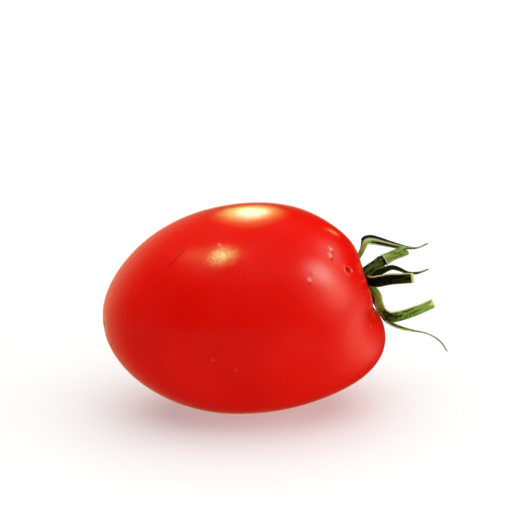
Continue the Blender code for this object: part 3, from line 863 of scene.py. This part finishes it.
# Stalk. The fruit's own stem, cut a short way above the knuckle where a ripe fruit parts from the vine:
# ribbed, with painted shade below the knuckle and in its groove, painted light above it, and pale pith
# in the cut end.
STALK_FOOT = 0.3 * MM
STALK_LENGTH = 15.0 * MM
STALK_RADIUS = 1.20 * MM
STALK_END_RADIUS = 1.32 * MM
STALK_FOOT_RADIUS = 1.48 * MM
STALK_FOOT_SPREAD = 2.4 * MM
KNUCKLE_AT = 8.3 * MM
KNUCKLE_RISE = 0.42 * MM
KNUCKLE_SPREAD = 1.3 * MM
KNUCKLE_GROOVE = 0.36 * MM
KNUCKLE_GROOVE_SPREAD = 0.26 * MM
STALK_BOW = 0.6 * MM
STALK_RINGS = 150
STALK_AROUND = 64
STALK_CAP = 0.05
STALK_RIBS = 5
STALK_RIB_RISE = 0.07 * MM
STALK_RIB_WIND = 0.25
STALK_UNEVEN = 0.07 * MM
STALK_UNEVEN_SIZE = 1.6 * MM
CUT_DISH = 0.22 * MM
CUT_PALENESS = 0.8
PITH_RADIUS = 0.45
FOOT_SHADE = 0.0
LOWER_SHADE = 0.32
LOWER_SHADE_FROM = 6.0 * MM
UPPER_SHADE = 0.80
UPPER_BLEND = 0.6 * MM
GROOVE_PAINTED_SHADE = 0.9
CREST_PALENESS = 0.12
CREST_FROM = 3.0 * MM
RING_PALENESS = 0.6
RING_ABOVE_KNUCKLE = 0.55 * MM
RING_SPREAD = 0.18 * MM


def stalk_radius(height):
    past_knuckle = (height - KNUCKLE_AT) / (STALK_LENGTH - KNUCKLE_AT)
    plain = lerp(STALK_RADIUS, STALK_END_RADIUS, smoothstep(past_knuckle))
    foot = (STALK_FOOT_RADIUS - STALK_RADIUS) * bell(height, STALK_FOOT_SPREAD)
    swelling = KNUCKLE_RISE * bell(height - KNUCKLE_AT, KNUCKLE_SPREAD)
    groove = KNUCKLE_GROOVE * bell(height - KNUCKLE_AT, KNUCKLE_GROOVE_SPREAD)
    return plain + foot + swelling - groove


def rib_wave(height, turn):
    """1 on the crest of a rib and -1 between two; the ribs wind slowly round the stalk."""
    return math.cos(STALK_RIBS * turn + STALK_RIB_WIND * height / MM)


def stalk_surface(height, turn, share_of_radius=1.0):
    """A point at this height along the bowed stem and this turn round it."""
    bow = STALK_BOW * math.sin(math.pi * height / STALK_LENGTH)
    middle = seat_point + seat_up * height + seat_rise * bow
    out, _ = seat_ways(turn)
    ribs = STALK_RIB_RISE * rib_wave(height, turn)
    spot = Vector((height / STALK_UNEVEN_SIZE, math.cos(turn) * 1.3, math.sin(turn) * 1.3))
    uneven = STALK_UNEVEN * noise.noise(spot)
    return middle + out * (stalk_radius(height) + ribs + uneven) * share_of_radius


def stalk_form():
    form = bmesh.new()
    bmesh.ops.create_uvsphere(form, u_segments=STALK_AROUND, v_segments=STALK_RINGS, radius=1.0)
    painted_shading = form.verts.layers.float.new("painted_shading")
    edge = form.verts.layers.float.new("edge")
    cut = form.verts.layers.float.new("cut")
    pith = form.verts.layers.float.new("pith")
    fibre = form.verts.layers.float_vector.new("fibre")
    for vertex in form.verts:
        polar = math.acos(max(-1.0, min(1.0, -vertex.co.z))) / math.pi
        turn = math.atan2(vertex.co.y, vertex.co.x)
        share = min(max((polar - STALK_CAP) / (1.0 - 2.0 * STALK_CAP), 0.0), 1.0)
        closing = min(1.0, polar / STALK_CAP, (1.0 - polar) / STALK_CAP)
        height = lerp(STALK_FOOT, STALK_LENGTH, share)
        place = stalk_surface(height, turn, closing)
        if share == 1.0:
            place -= seat_up * CUT_DISH * bell(closing, 0.5)
        vertex.co = place
        # Painted shading: black at the foot, dark below the knuckle and bright above it, as shade and light
        # fall on it.
        lower = lerp(FOOT_SHADE, LOWER_SHADE, smoothstep(height / LOWER_SHADE_FROM))
        vertex[painted_shading] = lerp(lower, UPPER_SHADE, smoothstep((height - KNUCKLE_AT) / UPPER_BLEND))
        # Painted shade in the knuckle's groove.
        vertex[painted_shading] -= GROOVE_PAINTED_SHADE * bell(height - KNUCKLE_AT, 1.2 * KNUCKLE_GROOVE_SPREAD)
        crest = smoothstep((rib_wave(height, turn) - 0.80) / 0.15)
        ring = bell(height - KNUCKLE_AT - RING_ABOVE_KNUCKLE, RING_SPREAD)
        vertex[edge] = max(CREST_PALENESS * crest * smoothstep(height / CREST_FROM), RING_PALENESS * ring)
        on_cut = share == 1.0 and closing < 1.0
        vertex[cut] = CUT_PALENESS if on_cut else 0.0
        vertex[pith] = smoothstep((PITH_RADIUS + 0.1 - closing) / 0.2) if on_cut else 0.0
        vertex[fibre] = (height, turn * stalk_radius(height), 0.0)
    return form


stalk = new_piece(stalk_form(), "stalk_stem", green_finish("tomato_stem"), math.radians(55))
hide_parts("stalk")

# Hairs. Short fine hairs stand on the young green of the stalk and the sepals, thickest along their edges,
# and catch the light as a pale down.
HAIR_SEED = 11
HAIRS_PER_SEPAL = 150
STALK_HAIRS = 420
HAIR_LENGTH = (0.15 * MM, 0.38 * MM)
HAIR_RADIUS = 0.022 * MM
HAIR_TIP_RADIUS = HAIR_RADIUS * 0.15
HAIR_MIDDLE = 0.42
HAIR_LEAN = 0.45
HAIR_OFF_EDGE = 0.7
HAIRY_SEPAL = (0.06, 0.97)
HAIRY_STALK = (2.0 * MM, STALK_LENGTH - 0.2 * MM)
HAIR_GREEN = (0.20, 0.25, 0.09)
HAIR_PALE = (0.55, 0.58, 0.34)
HAIR_TINT_SIZE = 2.0 * MM
SEPAL_STEP = (0.004, 0.05)
STALK_STEP = (0.1 * MM, 0.05)


def add_hair(form, root, outward, chance):
    """One hair, a slim three-sided cone that leans a little, its root sunk in the surface."""
    lean = Vector([chance.uniform(-HAIR_LEAN, HAIR_LEAN) for _ in range(3)])
    way = (outward + lean).normalized()
    length = chance.uniform(*HAIR_LENGTH)
    turned = way.to_track_quat("Z", "Y").to_matrix().to_4x4()
    bmesh.ops.create_cone(
        form, cap_ends=True, segments=3, radius1=HAIR_RADIUS, radius2=HAIR_TIP_RADIUS,
        depth=length, matrix=Matrix.Translation(root + way * length * HAIR_MIDDLE) @ turned,
    )


def outward_at(surface, first, second, step):
    """Point of a surface that is given by two numbers, and a way straight off it, out or in."""
    middle = surface(first, second)
    one = surface(first + step[0], second) - middle
    two = surface(first, second + step[1]) - middle
    return middle, one.cross(two).normalized()


def hair_finish():
    hair = Finish("tomato_hair", IOR=1.45, Roughness=0.45)
    hair.into("Base Color", hair.mix(hair.grain(HAIR_TINT_SIZE), HAIR_GREEN, HAIR_PALE))
    return hair.material


chance = random.Random(HAIR_SEED)
pale_hair = hair_finish()
form = bmesh.new()
for blade in blades:
    for _ in range(HAIRS_PER_SEPAL):
        share = chance.uniform(*HAIRY_SEPAL)
        around = math.pi * round(chance.random()) + chance.gauss(0.0, HAIR_OFF_EDGE)
        root, outward = outward_at(blade.surface, share, around, SEPAL_STEP)
        middle = blade.at(share)[0]
        if outward.dot(root - middle) < 0.0:
            outward.negate()
        add_hair(form, root, outward, chance)
hairs = new_piece(form, "calyx_hairs", pale_hair)
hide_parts("calyx")

form = bmesh.new()
for _ in range(STALK_HAIRS):
    height = chance.uniform(*HAIRY_STALK)
    turn = chance.uniform(0.0, 2.0 * math.pi)
    root, outward = outward_at(stalk_surface, height, turn, STALK_STEP)
    if outward.dot(seat_ways(turn)[0]) < 0.0:
        outward.negate()
    add_hair(form, root, outward, chance)
hairs = new_piece(form, "stalk_hairs", pale_hair)
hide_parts("stalk")

# Stage. A plain pale floor that runs out past the horizon of every view. It shines a little like a light
# table, more so further out, so that the shadow on it stays pale and its far part stays white.
FLOOR_SIZE = 12.0
FLOOR_COLOUR = (0.60, 0.60, 0.60)
FLOOR_SHADED = tuple(0.98 * part for part in FLOOR_COLOUR)
FLOOR_MOTTLE = 0.4
NEAR_GLOW = 0.34
FAR_GLOW = 1.0
GLOW_GROWS = (0.20, 0.90)


def floor_finish():
    pale = Finish("pale_floor", Roughness=0.9, IOR=1.3)
    pale.into("Emission Color", (1.0, 1.0, 1.0))
    far = pale.far_from((0.0, 0.0, 0.0))
    pale.into("Emission Strength", pale.ramp(far, *GLOW_GROWS, NEAR_GLOW, FAR_GLOW))
    pale.material.cycles.emission_sampling = "NONE"
    pale.into("Base Color", pale.mix(pale.grain(FLOOR_MOTTLE), FLOOR_COLOUR, FLOOR_SHADED))
    return pale.material


form = bmesh.new()
bmesh.ops.create_grid(form, x_segments=8, y_segments=8, size=FLOOR_SIZE / 2.0)
floor_mesh = bpy.data.meshes.new("floor")
form.to_mesh(floor_mesh)
form.free()
floor_mesh.materials.append(floor_finish())
floor = bpy.data.objects.new("floor", floor_mesh)
bpy.context.scene.collection.objects.link(floor)
floor.visible_glossy = False
floor.visible_shadow = False

# Light. Soft boxes behind and overhead, and soft glows in the dim room all round, show as highlights where
# they lie on the fruit in the photograph. Broad matt fills light the fruit and the floor evenly.
LIGHT_DISTANCE = 1.0
CREAM = (0.35, 0.95, 0.74)
AMBER = (0.40, 1.0, 0.33)
DEEP_AMBER = (0.40, 1.0, 0.20)
COOL = (0.45, 1.0, 0.85)
WARM = (1.0, 0.90, 0.62)
EMBER = (1.35, 0.82, 0.48)
WHITE = (1.0, 1.0, 1.0)
LEANING = (-0.07, -0.58, 0.81)
AWAY = (0.18, 0.97, 0.13)
UPRIGHT = (0.0, 0.0, 1.0)
SOFT_BOXES = (
    # name, direction from the fruit, way up, width and height in degrees, brightness, colour
    ("back", (0.17, 0.77, 0.61), LEANING, 8, 24, 9.0, CREAM),
    ("back_halo", (0.158, 0.77, 0.615), LEANING, 13, 36, 4.0, AMBER),
    ("back_glow", (0.163, 0.76, 0.625), LEANING, 19, 50, 1.7, DEEP_AMBER),
    ("overhead", (-0.19, -0.11, 0.98), AWAY, 5, 8, 125.0, AMBER),
    ("overhead_halo", (-0.19, -0.10, 0.98), AWAY, 11, 15, 9.0, AMBER),
    ("overhead_glow", (-0.20, -0.09, 0.97), AWAY, 20, 25, 3.0, AMBER),
    ("overhead_left", (-0.39, 0.11, 0.91), AWAY, 14, 15, 1.7, AMBER),
    ("back_right", (0.64, 0.64, 0.42), UPRIGHT, 5, 8, 5.0, AMBER),
)
FILLS = (
    ("ceiling", (0.05, 0.10, 1.00), AWAY, 92, 92, 1.95, WHITE),
    ("front", (0.10, -0.84, 0.54), UPRIGHT, 70, 50, 0.60, WHITE),
    ("right", (0.94, -0.30, 0.15), UPRIGHT, 50, 40, 2.3, WHITE),
    ("left", (-0.90, -0.20, 0.35), UPRIGHT, 50, 40, 0.5, WHITE),
    ("table", (0.20, -0.30, -0.93), AWAY, 90, 90, 0.34, WHITE),
)
ROOM_DIM = (0.030, 0.026, 0.016)
ROOM_GLOWS = (
    # direction, sharpness, brightness, colour
    ((-0.55, 0.80, -0.05), 5.0, 1.05, EMBER),
    (-view_back, 40.0, 1.5, WARM),
    ((0.77, 0.15, 0.62), 60.0, 2.6, COOL),
    ((0.71, -0.35, 0.65), 60.0, 9.5, COOL),
    ((0.85, -0.38, 0.37), 18.0, 4.2, WARM),
    ((0.93, -0.08, -0.34), 14.0, 1.4, WARM),
)


def soft_box(name, direction, up, width, height, brightness, colour):
    """An even panel that faces the fruit; its power gives it this brightness at any size."""
    light = bpy.data.lights.new(name, "AREA")
    light.shape = "ELLIPSE"
    light.size = 2.0 * LIGHT_DISTANCE * math.tan(math.radians(width / 2.0))
    light.size_y = 2.0 * LIGHT_DISTANCE * math.tan(math.radians(height / 2.0))
    light.energy = brightness * math.pi * (math.pi / 4.0 * light.size * light.size_y)
    light.color = colour
    away = Vector(direction).normalized()
    upward = (Vector(up) - away * away.dot(Vector(up))).normalized()
    turned = Matrix((upward.cross(away), upward, away)).transposed().to_4x4()
    panel = bpy.data.objects.new(name, light)
    panel.matrix_world = Matrix.Translation(FRUIT_MIDDLE + away * LIGHT_DISTANCE) @ turned
    panel.visible_camera = False
    bpy.context.scene.collection.objects.link(panel)
    return panel


for box in SOFT_BOXES:
    soft_box("box_" + box[0], *box[1:]).visible_diffuse = False
for box in FILLS:
    soft_box("fill_" + box[0], *box[1:]).visible_glossy = False

room = bpy.data.worlds.new("room")
room.use_nodes = True
bpy.context.scene.world = room
room.cycles_visibility.diffuse = False
sky = room.node_tree.nodes["Background"]
view_direction = room.node_tree.nodes.new("ShaderNodeTexCoord").outputs["Generated"]


def room_node(kind, operation, *values):
    """A node that works on the room's light; each value may be plain or come from another node."""
    node = room.node_tree.nodes.new(kind)
    node.operation = operation
    for socket, value in zip(node.inputs, values):
        if isinstance(value, bpy.types.NodeSocket):
            room.node_tree.links.new(value, socket)
        else:
            socket.default_value = value
    return node


light = ROOM_DIM
for toward, sharpness, brightness, colour in ROOM_GLOWS:
    facing = room_node("ShaderNodeVectorMath", "DOT_PRODUCT", view_direction, Vector(toward).normalized())
    facing = room_node("ShaderNodeMath", "MAXIMUM", facing.outputs["Value"], 0.0)
    glow = room_node("ShaderNodeMath", "POWER", facing.outputs["Value"], sharpness).outputs["Value"]
    light = room_node("ShaderNodeVectorMath", "MULTIPLY_ADD", glow, Vector(colour) * brightness, light)
    light = light.outputs["Vector"]
room.node_tree.links.new(light, sky.inputs["Color"])
